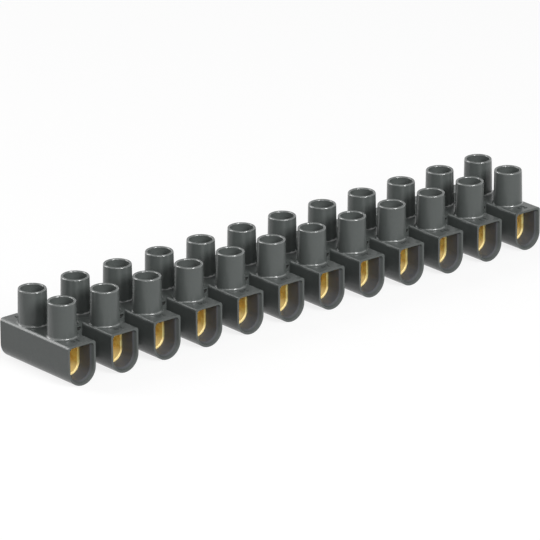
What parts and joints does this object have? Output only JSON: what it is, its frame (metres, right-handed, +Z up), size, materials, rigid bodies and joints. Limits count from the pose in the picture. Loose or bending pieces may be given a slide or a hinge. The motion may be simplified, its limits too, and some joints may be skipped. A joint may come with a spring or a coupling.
{
  "type": "terminal strip",
  "caption": "Dark moulded terminal strip: a row of joined wire tunnels with brass inserts, and clamping screws in round chimneys.",
  "frame": {"origin": "middle of the strip's underside, on the surface that it rests on", "axes": "+X along the strip, from pole 1 to pole 12; +Y along the wires, from the front mouths to the back ones; +Z up, along the screws"},
  "size_m": [0.1164, 0.0204, 0.015],
  "materials": {
    "moulded_plastic": "satin",
    "brass": "machined",
    "plated_steel": "zinc plated"
  },
  "bodies": {
    "strip": {"housing": "moulded_plastic", "insert_01": "brass", "insert_02": "brass", "insert_03": "brass", "insert_04": "brass", "insert_05": "brass", "insert_06": "brass", "insert_07": "brass", "insert_08": "brass", "insert_09": "brass", "insert_10": "brass", "insert_11": "brass", "insert_12": "brass"},
    "screw_front_01": {"screw_front_01": "plated_steel"},
    "screw_front_02": {"screw_front_02": "plated_steel"},
    "screw_front_03": {"screw_front_03": "plated_steel"},
    "screw_front_04": {"screw_front_04": "plated_steel"},
    "screw_front_05": {"screw_front_05": "plated_steel"},
    "screw_front_06": {"screw_front_06": "plated_steel"},
    "screw_front_07": {"screw_front_07": "plated_steel"},
    "screw_front_08": {"screw_front_08": "plated_steel"},
    "screw_front_09": {"screw_front_09": "plated_steel"},
    "screw_front_10": {"screw_front_10": "plated_steel"},
    "screw_front_11": {"screw_front_11": "plated_steel"},
    "screw_front_12": {"screw_front_12": "plated_steel"},
    "screw_back_01": {"screw_back_01": "plated_steel"},
    "screw_back_02": {"screw_back_02": "plated_steel"},
    "screw_back_03": {"screw_back_03": "plated_steel"},
    "screw_back_04": {"screw_back_04": "plated_steel"},
    "screw_back_05": {"screw_back_05": "plated_steel"},
    "screw_back_06": {"screw_back_06": "plated_steel"},
    "screw_back_07": {"screw_back_07": "plated_steel"},
    "screw_back_08": {"screw_back_08": "plated_steel"},
    "screw_back_09": {"screw_back_09": "plated_steel"},
    "screw_back_10": {"screw_back_10": "plated_steel"},
    "screw_back_11": {"screw_back_11": "plated_steel"},
    "screw_back_12": {"screw_back_12": "plated_steel"}
  },
  "joints": [
    {"name": "screw_front_01_travel", "type": "slide", "parent": "strip", "child": "screw_front_01", "axis": [0, 0, 1], "range_m": [-0.0031, 0.0005]},
    {"name": "screw_front_02_travel", "type": "slide", "parent": "strip", "child": "screw_front_02", "axis": [0, 0, 1], "range_m": [-0.0031, 0.0005]},
    {"name": "screw_front_03_travel", "type": "slide", "parent": "strip", "child": "screw_front_03", "axis": [0, 0, 1], "range_m": [-0.0031, 0.0005]},
    {"name": "screw_front_04_travel", "type": "slide", "parent": "strip", "child": "screw_front_04", "axis": [0, 0, 1], "range_m": [-0.0031, 0.0005]},
    {"name": "screw_front_05_travel", "type": "slide", "parent": "strip", "child": "screw_front_05", "axis": [0, 0, 1], "range_m": [-0.0031, 0.0005]},
    {"name": "screw_front_06_travel", "type": "slide", "parent": "strip", "child": "screw_front_06", "axis": [0, 0, 1], "range_m": [-0.0031, 0.0005]},
    {"name": "screw_front_07_travel", "type": "slide", "parent": "strip", "child": "screw_front_07", "axis": [0, 0, 1], "range_m": [-0.0031, 0.0005]},
    {"name": "screw_front_08_travel", "type": "slide", "parent": "strip", "child": "screw_front_08", "axis": [0, 0, 1], "range_m": [-0.0031, 0.0005]},
    {"name": "screw_front_09_travel", "type": "slide", "parent": "strip", "child": "screw_front_09", "axis": [0, 0, 1], "range_m": [-0.0031, 0.0005]},
    {"name": "screw_front_10_travel", "type": "slide", "parent": "strip", "child": "screw_front_10", "axis": [0, 0, 1], "range_m": [-0.0031, 0.0005]},
    {"name": "screw_front_11_travel", "type": "slide", "parent": "strip", "child": "screw_front_11", "axis": [0, 0, 1], "range_m": [-0.0031, 0.0005]},
    {"name": "screw_front_12_travel", "type": "slide", "parent": "strip", "child": "screw_front_12", "axis": [0, 0, 1], "range_m": [-0.0031, 0.0005]},
    {"name": "screw_back_01_travel", "type": "slide", "parent": "strip", "child": "screw_back_01", "axis": [0, 0, 1], "range_m": [-0.0031, 0.0005]},
    {"name": "screw_back_02_travel", "type": "slide", "parent": "strip", "child": "screw_back_02", "axis": [0, 0, 1], "range_m": [-0.0031, 0.0005]},
    {"name": "screw_back_03_travel", "type": "slide", "parent": "strip", "child": "screw_back_03", "axis": [0, 0, 1], "range_m": [-0.0031, 0.0005]},
    {"name": "screw_back_04_travel", "type": "slide", "parent": "strip", "child": "screw_back_04", "axis": [0, 0, 1], "range_m": [-0.0031, 0.0005]},
    {"name": "screw_back_05_travel", "type": "slide", "parent": "strip", "child": "screw_back_05", "axis": [0, 0, 1], "range_m": [-0.0031, 0.0005]},
    {"name": "screw_back_06_travel", "type": "slide", "parent": "strip", "child": "screw_back_06", "axis": [0, 0, 1], "range_m": [-0.0031, 0.0005]},
    {"name": "screw_back_07_travel", "type": "slide", "parent": "strip", "child": "screw_back_07", "axis": [0, 0, 1], "range_m": [-0.0031, 0.0005]},
    {"name": "screw_back_08_travel", "type": "slide", "parent": "strip", "child": "screw_back_08", "axis": [0, 0, 1], "range_m": [-0.0031, 0.0005]},
    {"name": "screw_back_09_travel", "type": "slide", "parent": "strip", "child": "screw_back_09", "axis": [0, 0, 1], "range_m": [-0.0031, 0.0005]},
    {"name": "screw_back_10_travel", "type": "slide", "parent": "strip", "child": "screw_back_10", "axis": [0, 0, 1], "range_m": [-0.0031, 0.0005]},
    {"name": "screw_back_11_travel", "type": "slide", "parent": "strip", "child": "screw_back_11", "axis": [0, 0, 1], "range_m": [-0.0031, 0.0005]},
    {"name": "screw_back_12_travel", "type": "slide", "parent": "strip", "child": "screw_back_12", "axis": [0, 0, 1], "range_m": [-0.0031, 0.0005]}
  ]
}
